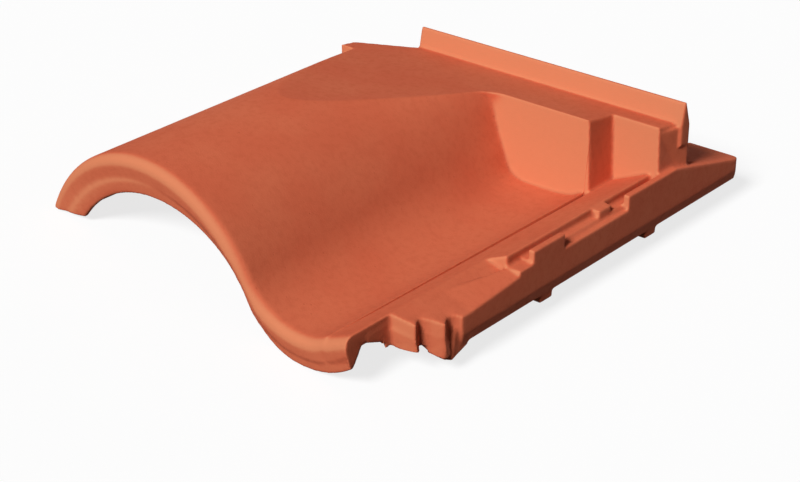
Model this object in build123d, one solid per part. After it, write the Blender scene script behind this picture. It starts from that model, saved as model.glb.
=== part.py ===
"""Under-ridge clay roof tile: an S-shaped interlocking tile, pressed and fired as one piece.

Seen from the nose, the barrel is on the left, the pan in the middle and the side lock on the right.
While it is modelled, X runs across the tile from the right end of the nose, Y runs from the nose to
the head, and Z = 0 is the level at which the barrel's left edge is cut off.
The finished tile is turned about Y to lie on a level floor, on its pan and its left edge.
"""
import math
import os

from build123d import *

# Wave of the tile, upper face
crest_height = 56.0             # left edge's level up to the crest
barrel_radius = 95.0            # at the nose
barrel_taper = 9.0              # how much smaller the radius is at the head
pan_depth = 15.0                # left edge's level down to the pan's floor
pan_left_radius = 44.0          # from the flank into the pan
pan_right_radius = 32.0         # from the pan up to the crease
pan_right_centre = 36.0         # middle of the right curve, left of the nose's right end
pan_floor = 1.2                 # flat floor between the two curves, at the nose
crease_reach = 17.0             # crease, left of the nose's right end
crease_step = 1.2               # drop from the pan to the landing strip

# Wave of the tile, lower face
crown_thickness = 15.5
pan_thickness = 14.0
barrel_radius_drop = 9.5        # from the upper to the lower barrel radius
pan_left_under = 48.2
pan_right_under = 46.0

# Thick nose
nose_length = 14.0              # up to the end of the slope behind the thick rim
nose_crown_thickness = 23.5
nose_pan_thickness = 21.0
nose_radius_drop = 11.5
nose_left_under = 46.0
nose_right_under = 60.0
nose_round = 6.0                # rounded upper edge
round_steps = (0.0, 30.0, 60.0, 90.0)   # degrees round that edge
nose_undercut = 8.0             # height of the lower part of the front, which leans under
nose_lean = 3.0                 # how far that part leans back

# Head slab with its lip
slab_front = 248.0              # upper edge of the wall that closes the pan
slab_step_run = 26.0            # from there to the upper edge of the wall over the side lock
slab_length = 53.0
plate_height = 38.5             # plate above the left edge's level, at slab_front
plate_dip = 8.0                 # degrees that the plate falls to the back
slab_thickness = 14.0
slab_left_inset = 17.0          # left end, right of the barrel's left edge
slab_left_run = 14.0            # length of the slab's left side
slab_wall_left = 96.0           # left end of the flat front wall, left of the nose's right end
slab_wall_round = 17.0          # hollow corner between that wall and the flank
slab_wall_right = 18.0          # right end of the front wall, left of the nose's right end
slab_right = 17.0               # right end of the slab, right of the nose's right end
wall_draft = 6.0                # degrees that the walls lean back
corner_cut_width = 34.0         # cut-off left corner at the back
corner_cut_run = 27.0
lip_height = 14.0
lip_width = 10.0                # at its foot
lip_top_width = 2.0
lip_lean = 3.0                  # how far the lip's front leans back
lip_overhang = 6.0              # how far the lip passes the slab on the right

# Side lock
side_reach = 25.0               # right side, right of the nose's right end
side_start = 36.0               # front end of the side lock
strip_height = 4.0              # landing strip at the groove
groove_left = 15.0              # wall of the groove, right of the nose's right end
groove_width = 5.5
groove_depth = 6.0
rib_height = 5.0                # top of the rib
lock_thickness = 14.0           # clay under the groove
flange_thickness = 11.0
flange_knee = 22.0              # left edge's level down to where the right side starts to lean in
flange_depth = 31.0             # left edge's level down to the right flange's lower edge
flange_lean = 3.5               # how far the right side leans in below the knee
foot_run = 86.0                 # from the front end to the first step up to the rib
foot_length = 13.0
foot_drop = 3.0                 # top of that step, below the left edge's level
rib_first_length = 31.0         # rib from that step to the gap
gap_length = 66.0
gap_drop = 4.5                  # lowered rib in the gap, below the left edge's level
post_run = 41.0                 # from the start of the gap to the post across the groove
post_length = 13.0
post_height = 2.5               # top of the post, above the left edge's level
post_side = 3.0                 # how far the post passes the groove on the left
tail_lead = 15.0                # the side lock starts to fall this far before the slab's back
tail_length = 65.0              # from the slab's back to the side lock's back end
tail_drop = 15.0                # back end, below the left edge's level

# Front end of the side lock, with two teeth and an end face, and the ramp behind it
front_drop = 10.0               # right edge in front of the rib, below the left edge's level
front_depth = 33.0              # lower edge at the right, below the left edge's level
front_foot_run = 42.0           # length of that deeper front
front_face_height = 9.0         # upright part of the front faces
front_undercut = 22.0           # degrees that they lean under, below that
first_tip_reach = 16.0          # teeth: right ends and roots, right of the nose's right end
first_tip_run = 5.0             # and how far they lie behind the front end
first_root_reach = 9.0
first_root_run = 11.5
second_tip_run = 20.0
second_root_reach = 17.0
second_root_run = 27.5
front_end_run = 33.0
ramp_run = 41.0                 # from the front end to the start of the ramp
ramp_left = 4.0                 # left corner of the ramp, right of the nose's right end
ramp_rise = 4.0                 # height of the ramp at the first step up to the rib

# Lugs under the right flange and hanging nib under the pan
lug_length = 12.0
lug_depth = 5.0
lug_front = 148.0
lug_back = 259.0
nib_width = 26.0
nib_length = 14.0
nib_depth = 6.0
nib_front = 230.0
nib_left = 44.0                 # left end of the nib, left of the nose's right end

# One overrun serves all cuts
overrun = 60.0

# Places that follow from these sizes
left_reach = (pan_right_centre + pan_floor
              + math.sqrt((barrel_radius + pan_left_radius) ** 2
                          - (pan_left_radius - pan_depth - crest_height + barrel_radius) ** 2)
              + math.sqrt(barrel_radius ** 2 - (crest_height - barrel_radius) ** 2))
slab_step = slab_front + slab_step_run
slab_back = slab_front + slab_length
slab_left = left_reach - slab_left_inset
slab_left_end = slab_front + slab_left_run
corner_cut_reach = slab_left - corner_cut_width
corner_cut_start = slab_left_end + corner_cut_run
lip_front = slab_back - lip_width
foot_start = side_start + foot_run
rib_start = foot_start + foot_length
gap_start = rib_start + rib_first_length
gap_end = gap_start + gap_length
tail_start = slab_back - tail_lead
side_end = slab_back + tail_length


def at(point):
    """A section point (x, z) as a point of the plane Y = 0."""
    return (point[0], 0.0, point[1])


def radius_at(y):
    """Upper barrel radius at y."""
    return barrel_radius - barrel_taper * y / slab_back


def floor_left_at(y):
    """Left end of the pan's floor at y, so that the barrel's left edge stays straight."""
    radius = radius_at(y)
    rise = pan_left_radius - pan_depth - crest_height + radius
    barrel_x = -left_reach + math.sqrt(radius ** 2 - (crest_height - radius) ** 2)
    return barrel_x + math.sqrt((radius + pan_left_radius) ** 2 - rise ** 2)


def wave_arcs(y, crest, radius, depth, left_radius, right_radius, end_x, drop):
    """Barrel arc, left pan arc, pan floor and right pan arc of one wave at y, up to end_x.

    A drop moves all arcs towards the clay below them.
    """
    bz = crest - radius
    pz = left_radius - depth
    rz = right_radius - depth
    px = floor_left_at(y)
    bx = px - math.sqrt((radius + left_radius) ** 2 - (pz - bz) ** 2)
    radius = radius - drop
    left_radius = left_radius + drop
    right_radius = right_radius + drop
    floor = -depth - drop
    start = (bx - math.sqrt(radius ** 2 - bz ** 2), 0.0)
    lean = math.atan2(pz - bz, px - bx)
    half_barrel = (math.atan2(-bz, start[0] - bx) + lean) / 2
    half_pan = (lean - math.pi / 2) / 2
    crown = (bx + radius * math.cos(half_barrel), bz + radius * math.sin(half_barrel))
    turn = (bx + radius * math.cos(lean), bz + radius * math.sin(lean))
    hollow = (px + left_radius * math.sin(half_pan), pz - left_radius * math.cos(half_pan))
    rx = -pan_right_centre
    end_angle = math.asin((end_x - rx) / right_radius)
    rise = (rx + right_radius * math.sin(end_angle / 2), rz - right_radius * math.cos(end_angle / 2))
    end = (end_x, rz - right_radius * math.cos(end_angle))
    arcs = [
        ThreePointArc(at(start), at(crown), at(turn)),
        ThreePointArc(at(turn), at(hollow), at((px, floor))),
        Line(at((px, floor)), at((rx, floor))),
        ThreePointArc(at((rx, floor)), at(rise), at(end)),
    ]
    return arcs, start, end


def upper_arcs(y, drop=0.0):
    """Upper face of the tile at y, from the left edge to the crease."""
    return wave_arcs(y, crest_height, radius_at(y), pan_depth, pan_left_radius, pan_right_radius,
                     -crease_reach, drop)


def lower_arcs(y, drop=0.0):
    """Lower face of the tile behind the nose, at y."""
    return wave_arcs(y, crest_height - crown_thickness, radius_at(y) - barrel_radius_drop,
                     pan_depth + pan_thickness, pan_left_under, pan_right_under, 0.0, drop)


def nose_arcs(y, drop=0.0):
    """Lower face of the thick nose at y."""
    return wave_arcs(y, crest_height - nose_crown_thickness, radius_at(y) - nose_radius_drop,
                     pan_depth + nose_pan_thickness, nose_left_under, nose_right_under, 0.0, drop)


def strip_z(x):
    """Height of the landing strip, from the crease up to the groove."""
    foot = upper_arcs(0.0)[2][1] - crease_step
    return foot + (strip_height - foot) * (x + crease_reach) / (groove_left + crease_reach)


def wave_face(y, lower, drop=0.0):
    """Section of the tile at y, between its upper face, moved in by a drop, and a lower face."""
    top, top_start, top_end = upper_arcs(y, drop)
    low, low_start, low_end = lower(y)
    foot = (top_end[0], top_end[1] - crease_step)
    tip = (0.0, strip_z(0.0) - drop)
    edges = top + low + [
        Line(at(top_end), at(foot)),
        Line(at(foot), at(tip)),
        Line(at(tip), at(low_end)),
        Line(at(low_start), at(top_start)),
    ]
    return Pos(0, y, 0) * make_face(Wire(edges))


def under_face(y, lower, lift=0.0):
    """Everything at y below a lower face, which is moved up by a lift, and below the left edge."""
    base = -flange_depth - 2 * overrun
    far_left = -left_reach - overrun
    arcs, start, end = lower(y, -lift)
    edges = arcs + [
        Line(at(end), at((overrun, end[1]))),
        Line(at((overrun, end[1])), at((overrun, base))),
        Line(at((overrun, base)), at((far_left, base))),
        Line(at((far_left, base)), at((far_left, start[1]))),
        Line(at((far_left, start[1])), at(start)),
    ]
    return Pos(0, y, 0) * make_face(Wire(edges))


def nose():
    """Thick nose: rounded upper edge, front leaning under below, sloping off to the wave behind."""
    faces = []
    for turn in round_steps:
        y = nose_round * (1 - math.cos(math.radians(turn)))
        drop = nose_round * (1 - math.sin(math.radians(turn)))
        faces.append(wave_face(y, nose_arcs, drop))
    slope = [wave_face(nose_round, nose_arcs), wave_face(nose_length, lower_arcs)]
    early = -nose_lean / 4
    early_lift = nose_undercut * (1 - early / nose_lean)
    lean = [under_face(early, nose_arcs, early_lift), under_face(nose_lean, nose_arcs)]
    return loft(faces) + loft(slope, ruled=True) - loft(lean, ruled=True)


def full_wave():
    """The wave behind the nose, solid down to below the tile."""
    base = -flange_depth - overrun
    faces = []
    for y in (nose_length, slab_back):
        arcs, start, end = upper_arcs(y)
        foot = (end[0], end[1] - crease_step)
        tip = (0.0, strip_z(0.0))
        edges = arcs + [
            Line(at(end), at(foot)),
            Line(at(foot), at(tip)),
            Line(at(tip), at((tip[0], base))),
            Line(at((tip[0], base)), at((start[0], base))),
            Line(at((start[0], base)), at(start)),
        ]
        faces.append(Pos(0, y, 0) * make_face(Wire(edges)))
    return loft(faces, ruled=True)


def under_wave():
    """Everything below the tile's lower face and below its left edge, behind the nose."""
    return loft([under_face(y, lower_arcs) for y in (nose_length, slab_back + overrun)], ruled=True)


def along(points, y_from, y_to):
    """Outline of (x, z) points, run along the tile."""
    face = make_face(Polyline([at(point) for point in points], close=True))
    return extrude(Pos(0, y_from, 0) * face, amount=y_to - y_from, dir=(0, 1, 0))


def across(points, x_from, x_to):
    """Outline of (y, z) points, run across the tile."""
    face = make_face(Polyline([(0.0, y, z) for y, z in points], close=True))
    return extrude(Pos(x_from, 0, 0) * face, amount=x_to - x_from, dir=(1, 0, 0))


def upright(points, z_from, z_to):
    """Outline of (x, y) points, run upwards."""
    face = make_face(Polyline(points, close=True))
    return extrude(Pos(0, 0, z_from) * face, amount=z_to - z_from, dir=(0, 0, 1))


def plate_z(y):
    """Height of the plate at y."""
    return plate_height - math.tan(math.radians(plate_dip)) * (y - slab_front)


def below_plate(drop):
    """Everything below the plate's plane, lowered by a drop."""
    base = -flange_depth - overrun
    back = side_end + overrun
    front_z = plate_z(-overrun) - drop
    back_z = plate_z(back) - drop
    return across([(-overrun, front_z), (back, back_z), (back, base), (-overrun, base)],
                  -left_reach - overrun, side_reach + overrun)


def slab():
    """Outside of the head slab: the walls below the plate and its left end, up to above the plate."""
    low = -pan_depth - pan_thickness / 2
    middle = -(left_reach + pan_right_centre) / 2
    round_front = slab_front - slab_wall_round
    half = slab_wall_round * math.sqrt(1 / 2)
    outline = [
        Line((middle, slab_back), (middle, round_front)),
        Line((middle, round_front), (-slab_wall_left - slab_wall_round, round_front)),
        ThreePointArc((-slab_wall_left - slab_wall_round, round_front),
                      (-slab_wall_left - half, round_front + half), (-slab_wall_left, slab_front)),
        Line((-slab_wall_left, slab_front), (-slab_wall_right, slab_front)),
        Line((-slab_wall_right, slab_front), (-slab_wall_right, slab_step)),
        Line((-slab_wall_right, slab_step), (slab_right, slab_step)),
        Line((slab_right, slab_step), (slab_right, slab_back)),
        Line((slab_right, slab_back), (middle, slab_back)),
    ]
    face = Pos(0, 0, plate_height) * make_face(Wire(outline))
    walls = extrude(face, amount=plate_height - low, dir=(0, 0, -1), taper=-wall_draft)
    above = extrude(face, amount=overrun, dir=(0, 0, 1))
    left_part = upright([
        (-slab_left, slab_front), (middle, slab_front), (middle, slab_back),
        (-corner_cut_reach, slab_back), (-corner_cut_reach, corner_cut_start), (-slab_left, slab_left_end)],
        0.0, plate_height + overrun)
    return walls + above + left_part


def slab_hollow():
    """Open space behind the walls of the head slab."""
    middle = -(left_reach + pan_right_centre) / 2
    front = slab_front + slab_thickness
    step = slab_step + slab_thickness
    wall = -slab_wall_right - slab_thickness
    right = slab_right - slab_thickness
    back = slab_back + overrun
    outline = [(middle, front), (wall, front), (wall, step), (right, step), (right, back), (middle, back)]
    return upright(outline, -flange_depth - overrun, plate_height + overrun)


def lip():
    """Upright lip along the back of the plate, falling off to the back."""
    foot = plate_z(slab_back) - slab_thickness
    seat = plate_z(lip_front)
    return across([(lip_front, foot), (lip_front, seat), (lip_front + lip_lean, seat + lip_height),
                   (lip_front + lip_lean + lip_top_width, seat + lip_height),
                   (slab_back, plate_z(slab_back)), (slab_back, foot)],
                  -corner_cut_reach, slab_right + lip_overhang)


def front_cut():
    """Space in front of the side lock's teeth; below the upright faces it runs back under them."""
    fall = math.atan2(strip_z(0.0) + front_drop, side_reach)
    knee = Plane(origin=(0.0, 0.0, strip_z(0.0) - front_face_height),
                 x_dir=(math.cos(fall), 0.0, -math.sin(fall)), z_dir=(math.sin(fall), 0.0, math.cos(fall)))
    far = side_reach + overrun
    end = side_start + front_end_run
    points = [
        (0.0, side_start - overrun), (0.0, side_start), (first_tip_reach, side_start + first_tip_run),
        (first_root_reach, side_start + first_root_run), (side_reach, side_start + second_tip_run),
        (second_root_reach, side_start + second_root_run), (side_reach, end), (far, end),
        (far, side_start - overrun)]
    outline = knee * make_face(Polyline(points, close=True))
    under = math.radians(front_undercut)
    upper = extrude(outline, amount=overrun, dir=(0, 0, 1))
    lower = extrude(outline, amount=overrun, dir=(0, math.sin(under), -math.cos(under)))
    return upper + lower


def ramp():
    """Shallow ramp from the front of the side lock up to the rib's first step."""
    start = side_start + ramp_run
    fall = (strip_z(0.0) + front_drop) / side_reach
    climb = ramp_rise / (foot_start - start)
    top = Plane(origin=(0.0, start, strip_z(0.0)), z_dir=(fall, -climb, 1.0))
    under = extrude(top * Rectangle(2 * side_end, 2 * side_end), amount=front_depth, dir=(0, 0, -1))
    plan = [(ramp_left, start), (side_reach, start), (side_reach, foot_start), (groove_left, foot_start)]
    return upright(plan, -front_drop - ramp_rise, rib_height + ramp_rise) & under


def side_lock():
    """Landing strip, groove, rib and right flange beside the pan."""
    inner = -crease_reach + crease_step
    groove_floor = strip_height - groove_depth
    floor = groove_floor - lock_thickness
    rib_left = groove_left + groove_width
    low_right = side_reach - flange_lean
    far = side_reach + overrun
    high = rib_height + overrun
    strip = [(inner, strip_z(inner)), (groove_left, strip_height)]
    nose_strip = [(inner, strip_z(inner)), (0.0, strip_z(0.0)), (side_reach, -front_drop),
                  (side_reach, -flange_knee)]
    lower = [(side_reach, -flange_knee), (low_right, -flange_depth),
             (low_right - flange_thickness, -flange_depth), (side_reach - flange_thickness, floor),
             (inner, floor)]
    front_end = side_start + front_foot_run
    front = along(nose_strip + [(low_right, -front_depth), (inner, floor)], side_start, front_end)
    middle = along(nose_strip + lower[1:], front_end, foot_start)
    foot = along(strip + [(groove_left, -foot_drop), (side_reach, -foot_drop)] + lower, foot_start, rib_start)
    rear = along(strip + [(groove_left, groove_floor), (rib_left, groove_floor), (rib_left, rib_height),
                          (side_reach, rib_height)] + lower, rib_start, side_end)
    gap = along([(rib_left - groove_width, groove_floor), (far, groove_floor), (far, high),
                 (rib_left - groove_width, high)], gap_start, gap_end)
    low_gap = along([(rib_left, -gap_drop), (far, -gap_drop), (far, high), (rib_left, high)],
                    gap_start, gap_end)
    post = block(groove_left - post_side, rib_left, gap_start + post_run, post_length,
                 groove_floor - post_side, post_height)
    fall = (rib_height + tail_drop) / (side_end - tail_start)
    tail_low = -tail_drop - fall * overrun
    tail = across([(tail_start, rib_height), (side_end + overrun, tail_low), (side_end + overrun, high),
                   (tail_start, high)], -crease_reach, far)
    end_block = along([(inner, -tail_drop), (side_reach, -tail_drop), (side_reach, -flange_knee),
                       (low_right, -flange_depth), (inner, -flange_depth)], slab_back, side_end)
    return (front + middle + ramp() + foot + (rear - gap - low_gap - tail) + post + end_block) - front_cut()


def block(x_from, x_to, y_from, length, z_from, z_to):
    """A square block."""
    return upright([(x_from, y_from), (x_to, y_from), (x_to, y_from + length), (x_from, y_from + length)],
                   z_from, z_to)


def feet():
    """Lugs under the right flange and the hanging nib under the pan."""
    low_right = side_reach - flange_lean
    low = -flange_depth - lug_depth
    nib_low = -pan_depth - pan_thickness - nib_depth
    lugs = [block(low_right - flange_thickness, low_right, y, lug_length, low, -flange_depth + lug_depth)
            for y in (lug_front, lug_back)]
    nib = block(-nib_left, -nib_left + nib_width, nib_front, nib_length, nib_low,
                -pan_depth - pan_thickness / 4)
    return lugs, nib


def tile():
    """The whole tile, while it is modelled."""
    behind = upright([(-left_reach - overrun, slab_left_end), (-slab_left, slab_left_end),
                      (-corner_cut_reach, corner_cut_start), (-corner_cut_reach, slab_back + overrun),
                      (-left_reach - overrun, slab_back + overrun)], -flange_depth, crest_height + overrun)
    body = (full_wave() + slab()) & below_plate(0.0)
    body = body - ((under_wave() + slab_hollow()) & below_plate(slab_thickness)) - behind
    lugs, nib = feet()
    return body + nose() + side_lock() + lip() + lugs[0] + lugs[1] + nib


def lie_down(model):
    """The tile turned to lie on the nose's pan and its left edge, its box centred on the floor."""
    arcs = nose_arcs(nose_round)[0]
    pan_x = (arcs[1] @ 1).X
    pan_z = nose_left_under - pan_depth - nose_pan_thickness
    reach = pan_x + left_reach
    lean = math.asin(nose_left_under / math.hypot(reach, pan_z)) - math.atan2(pan_z, reach)
    turned = Rot(0, -math.degrees(lean), 0) * model
    box = turned.bounding_box()
    return Pos(-box.center().X, -box.center().Y, -box.min.Z) * turned


os.makedirs("parts", exist_ok=True)
clay_tile = lie_down(tile())
export_step(clay_tile, "parts/clay_tile.step")
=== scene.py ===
"""Looks of an under-ridge clay roof tile: the solid with rounded edges, fired clay, a stage and a camera."""
import math

import bmesh
import bpy
import numpy as np
from bpy.props import FloatProperty, FloatVectorProperty, IntProperty, PointerProperty
from bpy.types import Operator, Panel, PropertyGroup
from mathutils import Matrix, Vector


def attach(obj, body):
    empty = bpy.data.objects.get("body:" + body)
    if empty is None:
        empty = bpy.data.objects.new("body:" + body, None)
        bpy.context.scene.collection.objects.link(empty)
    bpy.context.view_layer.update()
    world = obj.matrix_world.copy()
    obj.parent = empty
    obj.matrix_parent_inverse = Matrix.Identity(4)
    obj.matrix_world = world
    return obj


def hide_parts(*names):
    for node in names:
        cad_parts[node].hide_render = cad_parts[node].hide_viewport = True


bl_info = {
    "name": "Clay roof tile looks",
    "version": (1, 0, 0),
    "blender": (4, 5, 0),
    "location": "View3D > Sidebar > Tile",
    "description": "Dresses the packed clay roof tile and builds its stage",
    "category": "Object",
}

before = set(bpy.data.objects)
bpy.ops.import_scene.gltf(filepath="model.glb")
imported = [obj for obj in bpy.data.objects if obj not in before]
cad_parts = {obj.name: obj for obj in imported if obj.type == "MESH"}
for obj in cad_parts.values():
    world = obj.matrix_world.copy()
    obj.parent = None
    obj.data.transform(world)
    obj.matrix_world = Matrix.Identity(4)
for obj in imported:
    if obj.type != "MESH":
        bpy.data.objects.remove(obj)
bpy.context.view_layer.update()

TILE = "clay_tile"

# Where the moves of the clay fade in and out, in metres in the upright tile's frame
SHOULDER_ACROSS = (-0.165, -0.115, -0.095, -0.060)
TOE_ACROSS = (-0.130, -0.100, -0.050, -0.020)
TOE_HEIGHTS = (-0.027, -0.020)
TEETH_LEFT = (-0.006, 0.0)
TEETH_FRONT = 0.032
TEETH_BACK = (0.078, 0.060)
FOOT_LEFT = (0.003, 0.008)
FOOT_ALONG = (0.050, 0.057, 0.080, 0.090)

# First tooth: its limits across and along the tile
TOOTH_ACROSS = (-0.004, 0.020)
TOOTH_ALONG = (0.030, 0.052)

# Notches between the teeth: start, root across, root along and end
NOTCHES = ((0.041, 0.009, 0.0475, 0.056), (0.056, 0.017, 0.0635, 0.069))
NOTCH_REACH = 0.008

# Strength of one smoothing pass
SMOOTHING = 0.5

# Values of the noises and masks that become 0 and 1
CLOUD_RANGE = (0.32, 0.68)
SPECK_RANGE = (0.42, 0.70)
PORE_RANGE = (0.20, 0.05)
PORE_PATCH_RANGE = (0.52, 0.66)
# Painted light: faces that look towards the nose
PAINTED_LIGHT_RANGE = (0.62, 0.95)
RUBBED_RANGE = (0.51, 0.60)
# Painted shade: creases and inner corners
PAINTED_SHADE_RANGE = (0.495, 0.45)

# Specks and pore patches in grain and pore sizes, depth of a pore in grain heights, roughness of the specks
SPECK_SCALE = 4.0
PATCH_SCALE = 3.0
PIT_HEIGHT = -0.9
SPECK_ROUGHNESS = 0.10

WHITE = (1.0, 1.0, 1.0, 1.0)
DIM = (0.06, 0.06, 0.06, 1.0)

# Camera: width of its sensor in millimetres and the nearest distance seen in metres
SENSOR_WIDTH = 36.0
NEAREST_SEEN = 0.05


class TileShape(PropertyGroup):
    """Rounding of the pressed clay and the forms that go beyond the solid, in the upright tile's frame."""

    merge_distance: FloatProperty(
        name="Merge distance", description="Points of the solid's mesh this near become one", unit="LENGTH",
        default=0.000001)
    grid: FloatProperty(
        name="Grid", description="Cell of the remeshed clay", unit="LENGTH", default=0.0008)
    rounding: IntProperty(
        name="Rounding", description="Smoothing passes that round the edges", default=12)
    kept_share: FloatProperty(
        name="Kept share", description="Share of the remeshed faces that stays", subtype="FACTOR",
        default=0.20)
    heel_low: FloatVectorProperty(
        name="Heel, low corner", description="Heel that carries the lip's right end down to the side lock",
        subtype="TRANSLATION", size=3, default=(0.010, 0.275, -0.002))
    heel_high: FloatVectorProperty(
        name="Heel, high corner", description="Heel that carries the lip's right end down to the side lock",
        subtype="TRANSLATION", size=3, default=(0.023, 0.301, 0.031))
    heel_slant: FloatProperty(
        name="Heel slant", description="How much narrower the heel is in front", unit="LENGTH",
        default=0.005)
    foot_low: FloatVectorProperty(
        name="Foot, low corner", description="Foot under the front end of the side lock",
        subtype="TRANSLATION", size=3, default=(0.010, 0.060, -0.0372))
    foot_high: FloatVectorProperty(
        name="Foot, high corner", description="Foot under the front end of the side lock",
        subtype="TRANSLATION", size=3, default=(0.0221, 0.079, -0.017))
    foot_slant: FloatProperty(
        name="Foot slant", description="How far the foot's right front edge lies back", unit="LENGTH",
        default=0.007)
    foot_root: FloatProperty(
        name="Foot root", description="Height below which the foot's underside is tilted", unit="LENGTH",
        default=-0.0312)
    foot_lifts: FloatVectorProperty(
        name="Foot lifts", description="How much higher the underside is at the left and at the back",
        subtype="TRANSLATION", size=2, default=(0.0058, 0.0058))
    wedge_low: FloatVectorProperty(
        name="Wedge, low corner", description="Wedge under the strip in front of the teeth",
        subtype="TRANSLATION", size=3, default=(-0.010, 0.018, -0.0242))
    wedge_high: FloatVectorProperty(
        name="Wedge, high corner", description="Wedge under the strip in front of the teeth",
        subtype="TRANSLATION", size=3, default=(0.0004, 0.045, -0.008))
    wedge_rise: FloatProperty(
        name="Wedge rise", description="How much thinner the wedge is in front", unit="LENGTH",
        default=0.0107)
    swell_start: FloatProperty(
        name="Swell start", description="From here to the head wall the flank grows steeper", unit="LENGTH",
        default=0.125)
    wall_place: FloatProperty(
        name="Wall place", description="Head wall, from the nose", unit="LENGTH", default=0.248)
    flank_middle: FloatProperty(
        name="Flank middle", description="Height at which the flank stays where it is", unit="LENGTH",
        default=0.008)
    plate_level: FloatProperty(
        name="Plate level", description="Height of the plate at the head wall", unit="LENGTH",
        default=0.0385)
    pan_level: FloatProperty(
        name="Pan level", description="Height of the pan's floor", unit="LENGTH", default=-0.015)
    shoulder_push: FloatProperty(
        name="Shoulder push", description="How far the flank's shoulder moves out at the head wall",
        unit="LENGTH", default=0.0134)
    toe_pull: FloatProperty(
        name="Toe pull", description="How far the flank's toe moves in at the head wall", unit="LENGTH",
        default=0.016)
    nose_length: FloatProperty(
        name="Nose length", description="Length of the nose that leans with its front", unit="LENGTH",
        default=0.020)
    nose_depths: FloatVectorProperty(
        name="Nose depths", description="Rounded edge, knee and foot of the front, below its upper face",
        subtype="TRANSLATION", size=3, default=(0.007, 0.015, 0.023))
    nose_leans: FloatVectorProperty(
        name="Nose leans", description="How far the front moves back at those depths",
        subtype="TRANSLATION", size=3, default=(0.0, 0.002, 0.001))
    knee_level: FloatProperty(
        name="Knee level", description="Where the teeth's faces start to lean under, at the strip's side",
        unit="LENGTH", default=-0.009)
    knee_fall: FloatProperty(
        name="Knee fall", description="How much that level falls towards the right", subtype="FACTOR",
        default=0.4)
    tooth_straightening: FloatProperty(
        name="Tooth straightening", description="How much of a depth below the knee moves forward",
        subtype="FACTOR", default=0.26)
    notch_fills: FloatVectorProperty(
        name="Notch fills", description="How much shallower the two notches between the teeth are",
        subtype="TRANSLATION", size=2, default=(0.003, 0.0034))
    tooth_level: FloatProperty(
        name="Tooth level", description="Lower end of the first tooth", unit="LENGTH", default=-0.0245)
    tail_corner: FloatVectorProperty(
        name="Tail corner", description="Right back corner of the side lock", subtype="TRANSLATION", size=2,
        default=(0.025, 0.366))
    tail_round: FloatProperty(
        name="Tail round", description="Radius of that corner", unit="LENGTH", default=0.008)
    crease_depth: FloatProperty(
        name="Crease depth", description="Depth of the line between the pan and the side lock",
        unit="LENGTH", default=0.0016)
    crease_lines: FloatVectorProperty(
        name="Crease lines", description="Places across the crease, its lowest line in the middle",
        unit="LENGTH", size=5, default=(-0.0176, -0.0166, -0.0163, -0.0115, -0.0105))
    crease_start: FloatVectorProperty(
        name="Crease start", description="Stretch from the nose in which the crease deepens",
        unit="LENGTH", size=2, default=(0.012, 0.025))
    crease_floor: FloatProperty(
        name="Crease floor", description="The crease is only in what lies above this", unit="LENGTH",
        default=-0.010)
    crease_room: FloatProperty(
        name="Crease room", description="Faces this near to a line are cut along it", unit="LENGTH",
        default=0.03)


class ClayLooks(PropertyGroup):
    """Colours and grain of the fired clay."""

    body: FloatVectorProperty(
        name="Body", description="Main colour of the fired clay", subtype="COLOR", size=3, min=0.0, max=1.0,
        default=(0.60, 0.122, 0.057))
    pale: FloatVectorProperty(
        name="Pale", description="Paler clouds and worn edges", subtype="COLOR", size=3, min=0.0, max=1.0,
        default=(0.64, 0.158, 0.075))
    # Painted light: paler colour painted on the faces that look towards the nose and the key light
    painted_light: FloatVectorProperty(
        name="Painted_light", description="Faces that look towards the nose, fired paler", subtype="COLOR", size=3,
        min=0.0, max=1.0, default=(0.565, 0.190, 0.091))
    # Direction of the faces that get the painted light
    painted_light_from: FloatVectorProperty(
        name="Flame", description="Direction that the flashed faces look in", subtype="DIRECTION", size=3,
        default=(-0.09, -0.85, 0.52))
    deep: FloatVectorProperty(
        name="Deep", description="Deeper fired clouds and pores", subtype="COLOR", size=3, min=0.0, max=1.0,
        default=(0.50, 0.094, 0.043))
    # Painted shade: darker colour painted into creases and inner corners
    painted_shade: FloatVectorProperty(
        name="Painted_shade", description="Creases and inner corners, fired darker", subtype="COLOR", size=3,
        min=0.0, max=1.0, default=(0.34, 0.062, 0.030))
    roughness: FloatProperty(
        name="Roughness", description="Mean roughness of the matt surface", subtype="FACTOR",
        min=0.0, max=1.0, default=0.78)
    gloss: FloatProperty(
        name="Gloss", description="Specular level of the clay", subtype="FACTOR", min=0.0, max=1.0,
        default=0.10)
    cloud_size: FloatProperty(
        name="Cloud size", description="Size of the firing clouds", unit="LENGTH", default=0.06)
    grain_size: FloatProperty(
        name="Grain size", description="Size of the clay's grain", unit="LENGTH", default=0.0011)
    pore_size: FloatProperty(
        name="Pore size", description="Distance between pores", unit="LENGTH", default=0.0042)
    grain_depth: FloatProperty(
        name="Grain depth", description="Height of the grain", unit="LENGTH", default=0.00022)
    grain_strength: FloatProperty(
        name="Grain strength", description="Strength of the grain's relief", subtype="FACTOR", default=0.55)
    cloud_share: FloatProperty(
        name="Cloud share", description="How pale the firing clouds become", subtype="FACTOR", default=0.55)
    speck_share: FloatProperty(
        name="Speck share", description="How deep the specks become", subtype="FACTOR", default=0.30)
    pore_share: FloatProperty(
        name="Pore share", description="How deep the pores' colour becomes", subtype="FACTOR", default=0.55)
    # Share of the painted light on the faces towards the nose
    painted_light_share: FloatProperty(
        name="Painted_lighting share", description="How pale the flashed faces become", subtype="FACTOR", default=0.9)
    rubbed_share: FloatProperty(
        name="Rubbed share", description="How pale the rubbed edges become", subtype="FACTOR", default=0.5)
    # Share of the painted shade in creases and inner corners
    painted_shade_share: FloatProperty(
        name="Hollow share", description="How dark the hollows become", subtype="FACTOR", default=0.8)


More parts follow.
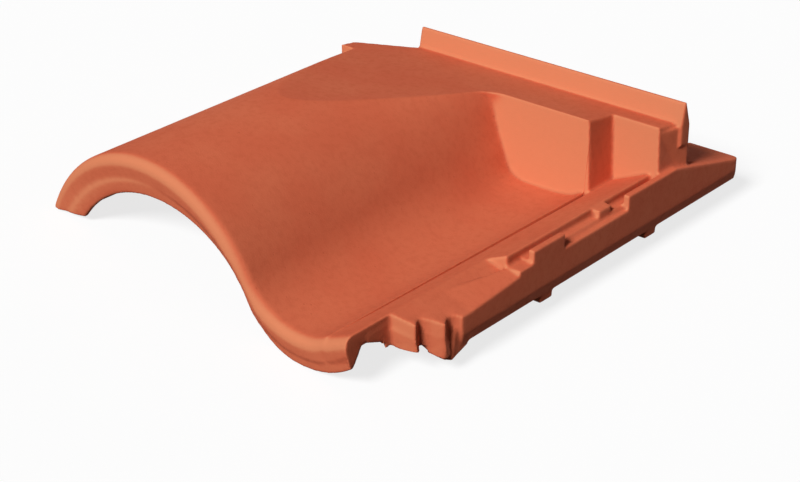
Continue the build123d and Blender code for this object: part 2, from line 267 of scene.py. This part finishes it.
class StageLooks(PropertyGroup):
    """Camera, lamps and floor."""

    lean: FloatProperty(
        name="Lean", description="How far the tile lies turned about its length", subtype="ANGLE",
        default=math.radians(10.0272))
    rest_place: FloatVectorProperty(
        name="Rest place", description="Nose's right end in the lying tile's frame", subtype="TRANSLATION",
        size=3, default=(0.1064337, -0.183, 0.0426688))
    eye: FloatVectorProperty(
        name="Eye", description="Camera place in the upright tile's frame", subtype="TRANSLATION", size=3,
        default=(0.5707, -0.6149, 0.4812))
    azimuth: FloatProperty(
        name="Azimuth", description="Camera turned to the right of the nose", subtype="ANGLE",
        default=math.radians(40.84))
    elevation: FloatProperty(
        name="Elevation", description="Camera above the upright tile's level", subtype="ANGLE",
        default=math.radians(26.89))
    roll: FloatProperty(
        name="Roll", description="Camera turned about its own axis", subtype="ANGLE",
        default=math.radians(-0.32))
    lens: FloatProperty(
        name="Lens", description="Focal length on a 36 mm wide sensor", unit="CAMERA", default=81.0)
    key_strength: FloatProperty(
        name="Key light", description="Strength of the soft key light", default=4.1)
    key_from: FloatVectorProperty(
        name="Key from", description="Where the key light comes from, round the upright tile",
        subtype="DIRECTION", size=3, default=(0.125, -0.77, 0.625))
    key_softness: FloatProperty(
        name="Key softness", description="Angle that the key light fills", subtype="ANGLE",
        default=math.radians(16.0))
    fill_strength: FloatProperty(
        name="Fill light", description="Strength of the light that lifts the back", default=0.8)
    fill_from: FloatVectorProperty(
        name="Fill from", description="Where the fill light comes from, round the upright tile",
        subtype="DIRECTION", size=3, default=(0.25, 0.95, -0.03))
    fill_softness: FloatProperty(
        name="Fill softness", description="Angle that the fill light fills", subtype="ANGLE",
        default=math.radians(12.0))
    ambient: FloatProperty(
        name="Ambient", description="Strength of the even light from all sides", default=0.05)
    floor_size: FloatProperty(
        name="Floor size", description="Side of the square floor", unit="LENGTH", default=8.0)
    floor_shade: FloatProperty(
        name="Floor shade", description="Share of the floor's white that follows the light",
        subtype="FACTOR", min=0.0, max=1.0, default=0.22)


def tree_of(material):
    """Empty node tree of a material."""
    material.use_nodes = True
    tree = material.node_tree
    tree.nodes.clear()
    return tree


def add_node(tree, kind, place, **values):
    """A node at a place, with its input sockets set by name."""
    node = tree.nodes.new(kind)
    node.location = place
    for name, value in values.items():
        node.inputs[name].default_value = value
    return node


def noise(tree, coords, place, size, detail, roughness=0.55):
    """Noise texture whose features have about the given size."""
    node = add_node(tree, "ShaderNodeTexNoise", place, Scale=1.0 / size, Detail=detail, Roughness=roughness)
    tree.links.new(coords, node.inputs["Vector"])
    return node.outputs["Fac"]


def ramp(tree, value, place, limits):
    """Value stretched between two limits to 0 and 1."""
    low, high = limits
    node = tree.nodes.new("ShaderNodeMapRange")
    node.location = place
    node.interpolation_type = "SMOOTHSTEP"
    node.inputs["From Min"].default_value = low
    node.inputs["From Max"].default_value = high
    tree.links.new(value, node.inputs["Value"])
    return node.outputs["Result"]


def blend_colour(tree, factor, first, second, place):
    """Two colours mixed by a factor."""
    node = tree.nodes.new("ShaderNodeMix")
    node.data_type = "RGBA"
    node.location = place
    sockets = [socket for socket in node.inputs if socket.type == "RGBA"]
    for socket, colour in zip(sockets, (first, second)):
        if hasattr(colour, "is_output"):
            tree.links.new(colour, socket)
        else:
            socket.default_value = (*colour, 1.0)
    tree.links.new(factor, node.inputs["Factor"])
    return [socket for socket in node.outputs if socket.type == "RGBA"][0]


def scale_value(tree, value, factor, place, offset=0.0):
    """Value times a factor plus an offset."""
    node = tree.nodes.new("ShaderNodeMath")
    node.operation = "MULTIPLY_ADD"
    node.location = place
    node.inputs[1].default_value = factor
    node.inputs[2].default_value = offset
    tree.links.new(value, node.inputs[0])
    return node.outputs[0]


def add_values(tree, first, second, place):
    """Sum of two values."""
    node = tree.nodes.new("ShaderNodeMath")
    node.operation = "ADD"
    node.location = place
    tree.links.new(first, node.inputs[0])
    tree.links.new(second, node.inputs[1])
    return node.outputs[0]


def fired_clay(looks):
    """Matt fired clay: clouds, grain, pores, painted light that makes the faces towards the nose paler,
    rubbed edges and painted shade that darkens the hollows.
    """
    material = bpy.data.materials.new("fired_clay")
    tree = tree_of(material)
    links = tree.links
    coords_node = add_node(tree, "ShaderNodeTexCoord", (-1500, 0))
    coords = coords_node.outputs["Object"]
    cloud_noise = noise(tree, coords, (-1300, 300), looks.cloud_size, 3.0)
    clouds = ramp(tree, cloud_noise, (-1100, 300), CLOUD_RANGE)
    speck_noise = noise(tree, coords, (-1300, 80), looks.grain_size * SPECK_SCALE, 4.0, 0.7)
    specks = ramp(tree, speck_noise, (-1100, 80), SPECK_RANGE)
    grain = noise(tree, coords, (-1300, -140), looks.grain_size, 3.0, 0.6)
    pores_node = add_node(tree, "ShaderNodeTexVoronoi", (-1300, -360), Scale=1.0 / looks.pore_size)
    links.new(coords, pores_node.inputs["Vector"])
    pores = ramp(tree, pores_node.outputs["Distance"], (-1100, -360), PORE_RANGE)
    patch_noise = noise(tree, coords, (-1300, -600), looks.pore_size * PATCH_SCALE, 2.0)
    pore_patches = ramp(tree, patch_noise, (-1100, -600), PORE_PATCH_RANGE)
    pore_mask = tree.nodes.new("ShaderNodeMath")
    pore_mask.operation = "MULTIPLY"
    pore_mask.location = (-900, -420)
    links.new(pores, pore_mask.inputs[0])
    links.new(pore_patches, pore_mask.inputs[1])
    share = scale_value(tree, clouds, looks.cloud_share, (-900, 300))
    colour = blend_colour(tree, share, looks.body, looks.pale, (-700, 300))
    share = scale_value(tree, specks, looks.speck_share, (-700, 80))
    colour = blend_colour(tree, share, colour, looks.deep, (-500, 200))
    share = scale_value(tree, pore_mask.outputs[0], looks.pore_share, (-700, -420))
    colour = blend_colour(tree, share, colour, looks.deep, (-300, 150))
    # Painted light: faces that look towards the nose and the key light get a paler colour
    painted_light_from = tree.nodes.new("ShaderNodeVectorMath")
    painted_light_from.operation = "DOT_PRODUCT"
    painted_light_from.location = (-1300, 780)
    painted_light_from.inputs[1].default_value = looks.painted_light_from
    links.new(coords_node.outputs["Normal"], painted_light_from.inputs[0])
    painted_light = ramp(tree, painted_light_from.outputs["Value"], (-1100, 780), PAINTED_LIGHT_RANGE)
    share = scale_value(tree, painted_light, looks.painted_light_share, (-900, 780))
    colour = blend_colour(tree, share, colour, looks.painted_light, (-200, 300))
    geometry = add_node(tree, "ShaderNodeNewGeometry", (-900, 560))
    rubbed = ramp(tree, geometry.outputs["Pointiness"], (-500, 560), RUBBED_RANGE)
    share = scale_value(tree, rubbed, looks.rubbed_share, (-300, 560))
    colour = blend_colour(tree, share, colour, looks.pale, (-100, 300))
    # Painted shade: creases and inner corners, where the pointiness is low, get a darker colour
    painted_shade = ramp(tree, geometry.outputs["Pointiness"], (-500, 760), PAINTED_SHADE_RANGE)
    share = scale_value(tree, painted_shade, looks.painted_shade_share, (-300, 760))
    colour = blend_colour(tree, share, colour, looks.painted_shade, (50, 300))
    pits = scale_value(tree, pore_mask.outputs[0], PIT_HEIGHT, (-500, -420))
    height = add_values(tree, grain, pits, (-300, -300))
    bump = add_node(tree, "ShaderNodeBump", (-100, -300), Strength=looks.grain_strength,
                    Distance=looks.grain_depth)
    links.new(height, bump.inputs["Height"])
    shader = add_node(tree, "ShaderNodeBsdfPrincipled", (150, 200))
    shader.inputs["Specular IOR Level"].default_value = looks.gloss
    links.new(colour, shader.inputs["Base Color"])
    roughness = scale_value(tree, specks, SPECK_ROUGHNESS, (-100, 0), looks.roughness)
    links.new(roughness, shader.inputs["Roughness"])
    links.new(bump.outputs["Normal"], shader.inputs["Normal"])
    output = add_node(tree, "ShaderNodeOutputMaterial", (450, 200))
    links.new(shader.outputs["BSDF"], output.inputs["Surface"])
    return material


def seen_mask(tree, place):
    """1 for rays from the camera and for those that mirror or pass through something, else 0."""
    left, level = place
    path = add_node(tree, "ShaderNodeLightPath", place)
    rays = path.outputs
    total = add_values(tree, rays["Is Camera Ray"], rays["Is Glossy Ray"], (left + 200, level))
    total = add_values(tree, total, rays["Is Transmission Ray"], (left + 400, level))
    node = tree.nodes.new("ShaderNodeMath")
    node.operation = "MINIMUM"
    node.location = (left + 600, level)
    node.inputs[1].default_value = 1.0
    tree.links.new(total, node.inputs[0])
    return node.outputs[0]


def pale_floor(share):
    """White floor that shows a light shadow and throws little light back."""
    material = bpy.data.materials.new("pale_floor")
    tree = tree_of(material)
    white = add_node(tree, "ShaderNodeEmission", (0, 200), Color=WHITE, Strength=1.0)
    lit = add_node(tree, "ShaderNodeBsdfDiffuse", (0, 60), Color=WHITE)
    dim = add_node(tree, "ShaderNodeBsdfDiffuse", (0, -80), Color=DIM)
    shown = tree.nodes.new("ShaderNodeMixShader")
    shown.location = (250, 150)
    shown.inputs["Fac"].default_value = share
    tree.links.new(white.outputs[0], shown.inputs[1])
    tree.links.new(lit.outputs[0], shown.inputs[2])
    final = tree.nodes.new("ShaderNodeMixShader")
    final.location = (500, 100)
    tree.links.new(seen_mask(tree, (-700, -250)), final.inputs["Fac"])
    tree.links.new(dim.outputs[0], final.inputs[1])
    tree.links.new(shown.outputs[0], final.inputs[2])
    output = add_node(tree, "ShaderNodeOutputMaterial", (750, 100))
    tree.links.new(final.outputs[0], output.inputs["Surface"])
    return material


def white_world(ambient):
    """World that looks white and lights the tile evenly and weakly."""
    world = bpy.data.worlds.new("studio")
    bpy.context.scene.world = world
    world.use_nodes = True
    tree = world.node_tree
    tree.nodes.clear()
    weak = add_node(tree, "ShaderNodeBackground", (0, 0), Color=WHITE, Strength=ambient)
    white = add_node(tree, "ShaderNodeBackground", (0, 150), Color=WHITE, Strength=1.0)
    final = tree.nodes.new("ShaderNodeMixShader")
    final.location = (250, 100)
    tree.links.new(seen_mask(tree, (-700, 150)), final.inputs["Fac"])
    tree.links.new(weak.outputs[0], final.inputs[1])
    tree.links.new(white.outputs[0], final.inputs[2])
    output = add_node(tree, "ShaderNodeOutputWorld", (500, 100))
    tree.links.new(final.outputs[0], output.inputs["Surface"])


def lying(stage, vector):
    """A direction of the upright tile, turned as the tile lies."""
    return Matrix.Rotation(-stage.lean, 3, "Y") @ Vector(vector)


def upright_to_row(stage):
    """Place of the upright tile's frame in the lying tile's frame."""
    return Matrix.Translation(stage.rest_place) @ Matrix.Rotation(-stage.lean, 4, "Y")


def add_block(solid, low, high, sides, slant):
    """Block between two corners, with the edge of two sides shifted; a side is an axis and a sign."""
    low = Vector(low)
    high = Vector(high)
    middle = (low + high) / 2
    block = bmesh.ops.create_cube(solid, size=1.0)["verts"]
    bmesh.ops.scale(solid, vec=high - low, verts=block)
    bmesh.ops.translate(solid, vec=middle, verts=block)
    edge = block
    for axis, sign in sides:
        edge = [vert for vert in edge if (vert.co[axis] - middle[axis]) * sign > 0.0]
    bmesh.ops.translate(solid, vec=slant, verts=edge)


def upright_solid(tile, to_row, shape):
    """The solid's mesh, merged and set upright, with the lip's heel and the lock's foot and wedge."""
    solid = bmesh.new()
    solid.from_mesh(tile.data)
    bmesh.ops.remove_doubles(solid, verts=solid.verts, dist=shape.merge_distance)
    bmesh.ops.transform(solid, matrix=to_row.inverted(), verts=solid.verts)
    right, front, under = (0, 1), (1, -1), (2, -1)
    add_block(solid, shape.heel_low, shape.heel_high, (right, front), (-shape.heel_slant, 0.0, 0.0))
    add_block(solid, shape.foot_low, shape.foot_high, (right, front), (0.0, shape.foot_slant, 0.0))
    add_block(solid, shape.wedge_low, shape.wedge_high, (front, under), (0.0, 0.0, shape.wedge_rise))
    mesh = bpy.data.meshes.new("fired_tile")
    solid.to_mesh(mesh)
    solid.free()
    return mesh


def eased(value, start, end):
    """0 at the start and 1 at the end, with soft ends."""
    share = np.clip((value - start) / (end - start), 0.0, 1.0)
    return share * share * (3.0 - 2.0 * share)


def within(value, limits):
    """1 between the two middle limits and 0 outside the outer ones, with soft ends."""
    start, full, falling, end = limits
    return eased(value, start, full) * eased(value, end, falling)


def steepen_flank(shape, x, y, z):
    """Push the flank's shoulder out and its toe in, more and more towards the head wall."""
    near = np.clip((y - shape.swell_start) / (shape.wall_place - shape.swell_start), 0.0, 1.0) ** 2
    above = np.clip((z - shape.flank_middle) / (shape.plate_level - shape.flank_middle), 0.0, None) ** 2
    below = np.clip((shape.flank_middle - z) / (shape.flank_middle - shape.pan_level), 0.0, 1.0) ** 2
    shoulder = within(x, SHOULDER_ACROSS)
    toe = within(x, TOE_ACROSS) * eased(z, *TOE_HEIGHTS)
    x += near * (shape.shoulder_push * above * shoulder - shape.toe_pull * below * toe)


def lean_nose(shape, x, y, z):
    """Lean the nose's front back below its rounded upper edge."""
    column = np.round((x - x.min()) / shape.grid).astype(int)
    nose = y < shape.nose_length
    top = np.full(column.max() + 1, z.min())
    np.maximum.at(top, column[nose], z[nose])
    slope = np.gradient(top, shape.grid)
    depth = (top[column] - z) / np.hypot(1.0, slope[column])
    near = np.clip(1.0 - y / shape.nose_length, 0.0, 1.0)
    y += near * np.interp(depth, shape.nose_depths, shape.nose_leans)


def straighten_teeth(shape, x, y, z):
    """Let the teeth's lower faces lean under less."""
    depth = np.clip(shape.knee_level - shape.knee_fall * x - z, 0.0, None)
    near = eased(x, *TEETH_LEFT) * eased(y, *TEETH_BACK) * (y > TEETH_FRONT)
    y -= shape.tooth_straightening * depth * near


def tilt_foot(shape, x, y, z):
    """Let the foot's underside rise to the left and to the back."""
    low, high = shape.foot_low, shape.foot_high
    below = np.clip((shape.foot_root - z) / (shape.foot_root - low[2]), 0.0, 1.0)
    left = np.clip((high[0] - x) / (high[0] - low[0]), 0.0, 1.0)
    back = np.clip((y - low[1] - shape.foot_slant) / (high[1] - low[1] - shape.foot_slant), 0.0, 1.0)
    near = eased(x, *FOOT_LEFT) * within(y, FOOT_ALONG)
    lift = np.minimum(shape.foot_lifts[0] * left + shape.foot_lifts[1] * back, max(shape.foot_lifts))
    z += near * below * lift


def fill_notches(shape, x, y, z):
    """Make the two notches between the teeth shallower."""
    for fill, (start, root_x, root_y, end) in zip(shape.notch_fills, NOTCHES):
        along = np.interp(y, (start, root_y, end), (0.0, 1.0, 0.0))
        across = np.interp(x, (root_x - NOTCH_REACH, root_x, root_x + NOTCH_REACH), (0.0, 1.0, 0.0))
        shift = fill * along * across
        x += shift
        z -= shape.knee_fall * shift


def blunt_tooth(shape, x, y, z):
    """Cut the first tooth's point off."""
    across = (x > TOOTH_ACROSS[0]) & (x < TOOTH_ACROSS[1])
    tooth = across & (y > TOOTH_ALONG[0]) & (y < TOOTH_ALONG[1])
    z[tooth] = np.maximum(z[tooth], shape.tooth_level)


def round_tail(shape, x, y, z):
    """Round the side lock's back corner."""
    out_x = np.clip(x - shape.tail_corner[0] + shape.tail_round, 0.0, None)
    out_y = np.clip(y - shape.tail_corner[1] + shape.tail_round, 0.0, None)
    spare = np.clip(1.0 - shape.tail_round / np.maximum(np.hypot(out_x, out_y), shape.tail_round), 0.0, 1.0)
    spare[(out_x == 0.0) | (out_y == 0.0)] = 0.0
    x -= out_x * spare
    y -= out_y * spare


def press_crease(mesh, shape):
    """Press the line between the pan and the side lock: steep on the pan's side, shallow on the other."""
    clay = bmesh.new()
    clay.from_mesh(mesh)
    for place in shape.crease_lines:
        faces = [face for face in clay.faces if abs(face.calc_center_median().x - place) < shape.crease_room]
        edges = {edge for face in faces for edge in face.edges}
        verts = {vert for face in faces for vert in face.verts}
        bmesh.ops.bisect_plane(clay, geom=[*verts, *edges, *faces], dist=shape.merge_distance,
                               plane_co=(place, 0.0, 0.0), plane_no=(1.0, 0.0, 0.0))
    for vert in clay.verts:
        if vert.co.z > shape.crease_floor and vert.co.y < shape.wall_place:
            share = np.interp(vert.co.x, shape.crease_lines[1:4], (0.0, 1.0, 0.0))
            vert.co.z -= shape.crease_depth * share * eased(vert.co.y, *shape.crease_start)
    for edge in clay.edges:
        for place in shape.crease_lines[1:3]:
            on_line = all(abs(vert.co.x - place) < shape.merge_distance * 2 for vert in edge.verts)
            if on_line and edge.verts[0].co.z > shape.crease_floor - shape.crease_depth:
                edge.smooth = False
    clay.to_mesh(mesh)
    clay.free()


def move_points(mesh, shape, moves):
    """Let each move shift the mesh's points, given as arrays of x, y and z."""
    places = np.empty(len(mesh.vertices) * 3)
    mesh.vertices.foreach_get("co", places)
    x, y, z = places.reshape(-1, 3).T
    for move in moves:
        move(shape, x, y, z)
    mesh.vertices.foreach_set("co", places)


def apply_modifiers(piece):
    """Make what the piece's modifiers show its own mesh."""
    seen = piece.evaluated_get(bpy.context.evaluated_depsgraph_get())
    mesh = bpy.data.meshes.new_from_object(seen)
    piece.modifiers.clear()
    piece.data = mesh


class CLAYTILE_OT_press(Operator):
    """Build the tile from the solid, with rounded edges and fired clay"""

    bl_idname = "claytile.press"
    bl_label = "Press and fire the tile"

    def execute(self, context):
        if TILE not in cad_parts:
            raise RuntimeError("the tile's node is missing")
        shape = context.scene.tile_shape
        to_row = upright_to_row(context.scene.stage_looks)
        piece = bpy.data.objects.new("fired_tile", upright_solid(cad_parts[TILE], to_row, shape))
        context.scene.collection.objects.link(piece)
        remesh = piece.modifiers.new("pressed", "REMESH")
        remesh.mode = "VOXEL"
        remesh.voxel_size = shape.grid
        apply_modifiers(piece)
        move_points(piece.data, shape, (steepen_flank, lean_nose, tilt_foot, fill_notches,
                                        straighten_teeth, blunt_tooth, round_tail))
        smooth = piece.modifiers.new("rounded", "SMOOTH")
        smooth.factor = SMOOTHING
        smooth.iterations = shape.rounding
        thin = piece.modifiers.new("thinned", "DECIMATE")
        thin.ratio = shape.kept_share
        apply_modifiers(piece)
        piece.data.shade_smooth()
        press_crease(piece.data, shape)
        piece.data.transform(to_row)
        piece.data.materials.append(fired_clay(context.scene.clay_looks))
        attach(piece, "root")
        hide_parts(TILE)
        return {"FINISHED"}


class CLAYTILE_OT_stage(Operator):
    """Build the floor, the lamps, the world and the camera"""

    bl_idname = "claytile.stage"
    bl_label = "Build the stage"

    def execute(self, context):
        stage = context.scene.stage_looks
        bpy.ops.mesh.primitive_plane_add(size=stage.floor_size)
        floor = context.active_object
        floor.name = "floor"
        floor.data.materials.append(pale_floor(stage.floor_shade))
        white_world(stage.ambient)
        self.add_lamp(context, stage, "key", stage.key_strength, stage.key_softness, stage.key_from)
        self.add_lamp(context, stage, "fill", stage.fill_strength, stage.fill_softness, stage.fill_from)
        self.add_camera(context, stage)
        context.scene.view_settings.view_transform = "Standard"
        return {"FINISHED"}

    def add_lamp(self, context, stage, name, strength, softness, direction):
        """Far lamp that shines from a direction round the upright tile."""
        data = bpy.data.lights.new(name, "SUN")
        data.energy = strength
        data.angle = softness
        lamp = bpy.data.objects.new(name, data)
        context.scene.collection.objects.link(lamp)
        lamp.rotation_euler = lying(stage, direction).to_track_quat("Z", "Y").to_euler()

    def add_camera(self, context, stage):
        """Camera at the photograph's viewing angle."""
        flat = math.cos(stage.elevation)
        across = math.sin(stage.azimuth) * flat
        along = -math.cos(stage.azimuth) * flat
        back = Vector((across, along, math.sin(stage.elevation)))
        right = Vector((0.0, 0.0, 1.0)).cross(back).normalized()
        up = back.cross(right)
        turned_right = right * math.cos(stage.roll) + up * math.sin(stage.roll)
        turned_up = up * math.cos(stage.roll) - right * math.sin(stage.roll)
        axes = [lying(stage, axis) for axis in (turned_right, turned_up, back)]
        place = lying(stage, stage.eye) + Vector(stage.rest_place)
        camera_data = bpy.data.cameras.new("camera")
        camera_data.sensor_width = SENSOR_WIDTH
        camera_data.sensor_fit = "HORIZONTAL"
        camera_data.lens = stage.lens
        camera_data.clip_start = NEAREST_SEEN
        camera = bpy.data.objects.new("camera", camera_data)
        context.scene.collection.objects.link(camera)
        matrix = Matrix(axes).transposed().to_4x4()
        matrix.translation = place
        camera.matrix_world = matrix
        context.scene.camera = camera


class CLAYTILE_PT_panel(Panel):
    """Settings and steps of the clay tile"""

    bl_idname = "CLAYTILE_PT_panel"
    bl_label = "Clay roof tile"
    bl_space_type = "VIEW_3D"
    bl_region_type = "UI"
    bl_category = "Tile"

    def draw(self, context):
        layout = self.layout
        layout.operator("claytile.press")
        layout.operator("claytile.stage")
        for group in (context.scene.tile_shape, context.scene.clay_looks, context.scene.stage_looks):
            box = layout.box()
            for name in group.bl_rna.properties.keys():
                if name not in ("rna_type", "name"):
                    box.prop(group, name)


CLASSES = (TileShape, ClayLooks, StageLooks, CLAYTILE_OT_press, CLAYTILE_OT_stage, CLAYTILE_PT_panel)


def register():
    """Register the classes and the settings."""
    for cls in CLASSES:
        bpy.utils.register_class(cls)
    bpy.types.Scene.tile_shape = PointerProperty(type=TileShape)
    bpy.types.Scene.clay_looks = PointerProperty(type=ClayLooks)
    bpy.types.Scene.stage_looks = PointerProperty(type=StageLooks)


def unregister():
    """Take the settings and the classes away again."""
    del bpy.types.Scene.stage_looks
    del bpy.types.Scene.clay_looks
    del bpy.types.Scene.tile_shape
    for cls in reversed(CLASSES):
        bpy.utils.unregister_class(cls)


def main():
    """Run the steps in order."""
    register()
    bpy.ops.claytile.press()
    bpy.ops.claytile.stage()


if __name__ == "__main__":
    main()
